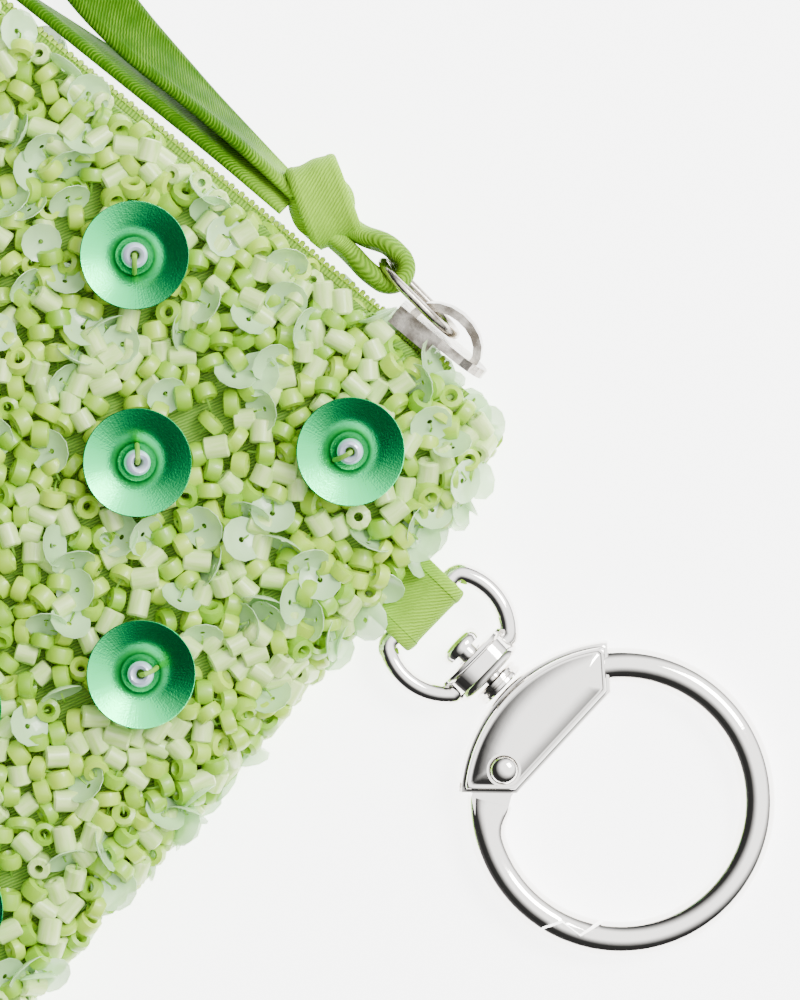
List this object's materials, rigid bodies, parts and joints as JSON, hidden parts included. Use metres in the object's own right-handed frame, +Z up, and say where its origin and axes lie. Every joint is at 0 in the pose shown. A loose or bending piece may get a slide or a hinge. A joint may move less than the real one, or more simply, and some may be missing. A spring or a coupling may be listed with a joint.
{
  "type": "beaded zip pouch",
  "caption": "Small flat pouch covered in seed beads and cupped sequins, with a zip, a knotted satin strap through its puller and a swivelling ring clip on a side tab.",
  "frame": {"origin": "middle of the whole object's footprint, on the surface it lies on", "axes": "+X runs along the zip towards the slider and the clip, +Y points out of the zip edge, +Z points up from the surface"},
  "size_m": [0.1472, 0.0996, 0.0146],
  "materials": {
    "bead_bed": "green cloth covered in yellow-green and pale seed beads",
    "zip_cloth": "woven tape",
    "zip_nylon": "dyed nylon coil",
    "cast_metal": "cast, nickel plated",
    "satin": "satin with a fine diagonal weave",
    "plated_metal": "polished chrome plate",
    "emerald_foil": "metallic brushed foil",
    "pearl_bead": "iridescent white"
  },
  "bodies": {
    "pouch": {"front_panel": "bead_bed", "back_panel": "bead_bed", "zip_tape_front": "zip_cloth", "zip_tape_back": "zip_cloth", "zip_coil": "zip_nylon", "zip_slider": "cast_metal", "puller_link": "cast_metal", "strap": "satin", "tab": "satin", "cup_01": "emerald_foil", "cup_02": "emerald_foil", "cup_03": "emerald_foil", "cup_04": "emerald_foil", "cup_05": "emerald_foil", "cup_06": "emerald_foil", "cup_07": "emerald_foil", "cup_08": "emerald_foil", "cup_09": "emerald_foil", "cup_10": "emerald_foil", "cup_11": "emerald_foil", "cup_12": "emerald_foil", "cup_13": "emerald_foil", "cup_14": "emerald_foil", "cup_15": "emerald_foil", "cup_16": "emerald_foil", "cup_17": "emerald_foil", "cup_18": "emerald_foil", "stop_bead_01": "pearl_bead", "stop_bead_02": "pearl_bead", "stop_bead_03": "pearl_bead", "stop_bead_04": "pearl_bead", "stop_bead_05": "pearl_bead", "stop_bead_06": "pearl_bead", "stop_bead_07": "pearl_bead", "stop_bead_08": "pearl_bead", "stop_bead_09": "pearl_bead", "stop_bead_10": "pearl_bead", "stop_bead_11": "pearl_bead", "stop_bead_12": "pearl_bead", "stop_bead_13": "pearl_bead", "stop_bead_14": "pearl_bead", "stop_bead_15": "pearl_bead", "stop_bead_16": "pearl_bead", "stop_bead_17": "pearl_bead", "stop_bead_18": "pearl_bead"},
    "eye": {"d_eye": "plated_metal"},
    "ring": {"swivel_post": "plated_metal", "ring_frame": "plated_metal", "gate_pin": "plated_metal"},
    "gate": {"gate": "plated_metal"}
  },
  "joints": [
    {"name": "eye_on_tab", "type": "hinge", "parent": "pouch", "child": "eye", "pos_m": [0.03363, 0.01199, 0.00335], "axis": [0.0872, 0.9962, 0], "range_deg": [-75, 75]},
    {"name": "clip_swivel", "type": "hinge", "parent": "eye", "child": "ring", "pos_m": [0.03363, 0.01199, 0.00335], "axis": [0.9952, -0.0871, -0.0456], "continuous": true},
    {"name": "gate_pivot", "type": "hinge", "parent": "ring", "child": "gate", "pos_m": [0.04888, 0.0052, 0.00263], "axis": [0.0454, -0.004, 0.999], "range_deg": [0, 27], "stiffness_Nm_per_rad": 0.004}
  ]
}
